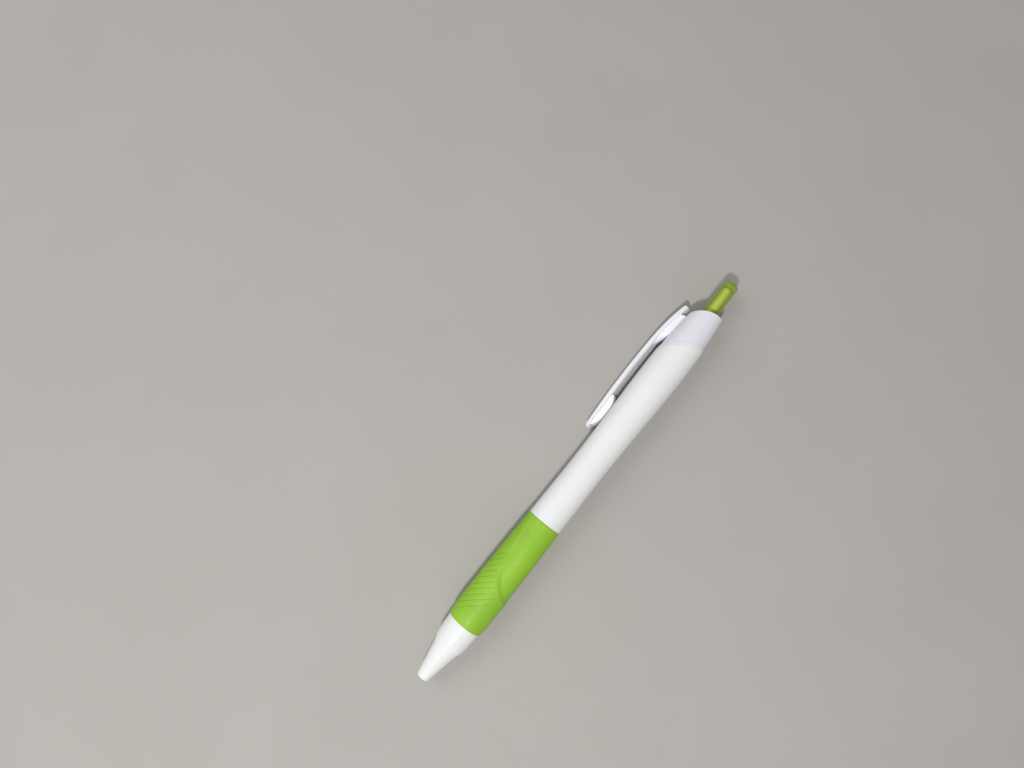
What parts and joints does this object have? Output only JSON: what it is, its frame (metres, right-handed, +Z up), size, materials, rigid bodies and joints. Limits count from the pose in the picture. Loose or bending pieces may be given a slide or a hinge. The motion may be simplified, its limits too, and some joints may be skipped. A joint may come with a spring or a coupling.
{
  "type": "retractable ballpoint pen",
  "caption": "Slim retractable ballpoint pen with a soft grooved grip, oblique end cap, springy side clip and translucent push button.",
  "frame": {"origin": "on the surface the pen lies on, under the middle of its bounding box", "axes": "+X from the nose along the pen to the push button, +Y to the side that the clip lies on, +Z up"},
  "size_m": [0.14, 0.0142, 0.0112],
  "materials": {
    "white_plastic": "satin white moulded plastic",
    "cap_plastic": "cool white moulded plastic",
    "clip_plastic": "pearly white moulded plastic",
    "green_rubber": "soft matte green rubber",
    "button_plastic": "translucent yellow-green plastic",
    "cam_plastic": "yellow-green acetal",
    "guide_plastic": "natural acetal",
    "spring_steel": "drawn stainless wire",
    "refill_metal": "drawn and plated tube",
    "nickel_silver": "turned nickel silver",
    "hard_ball": "polished carbide",
    "blue_ink": "thick paste ink",
    "clear_grease": "clear grease",
    "refill_plastic": "black moulded plastic"
  },
  "bodies": {
    "housing": {"nose_cone": "white_plastic", "grip_core": "guide_plastic", "grip_sleeve": "green_rubber", "barrel": "white_plastic", "end_cap": "cap_plastic", "cam_guide": "guide_plastic", "return_spring": "spring_steel"},
    "clip": {"clip": "clip_plastic"},
    "button": {"push_button": "button_plastic", "thrust_cam": "cam_plastic"},
    "refill": {"refill_tube": "refill_metal", "point_holder": "refill_plastic", "point_socket": "nickel_silver", "ink_column": "blue_ink", "follower_plug": "clear_grease", "tail_plug": "refill_plastic"},
    "rotor": {"rotor": "cam_plastic"},
    "ball": {"writing_ball": "hard_ball"}
  },
  "joints": [
    {"name": "button_press", "type": "slide", "parent": "housing", "child": "button", "axis": [-1, 0, 0], "range_m": [0, 0.0055], "stiffness_N_per_m": 300, "springref_m": -0.006},
    {"name": "refill_slide", "type": "slide", "parent": "housing", "child": "refill", "axis": [-1, 0, 0], "range_m": [0, 0.0055], "deforming": ["return_spring"]},
    {"name": "rotor_turn", "type": "hinge", "parent": "refill", "child": "rotor", "pos_m": [0.033, -0.00154, 0.0056], "axis": [1, 0, 0], "range_deg": [0, 22.5]},
    {"name": "ball_roll", "type": "hinge", "parent": "refill", "child": "ball", "pos_m": [-0.068, -0.00154, 0.0056], "axis": [0, 1, 0], "continuous": true},
    {"name": "clip_flex", "type": "hinge", "parent": "housing", "child": "clip", "pos_m": [0.0543, 0.00258, 0.00355], "axis": [0, -0.4462, -0.8949], "range_deg": [0, 5], "stiffness_Nm_per_rad": 0.5, "springref_deg": -1.72}
  ],
  "couplings": [
    {"joint": "refill_slide", "follows": "button_press", "ratio": 1},
    {"joint": "rotor_turn", "follows": "button_press", "rad_per_m": 71.4}
  ]
}
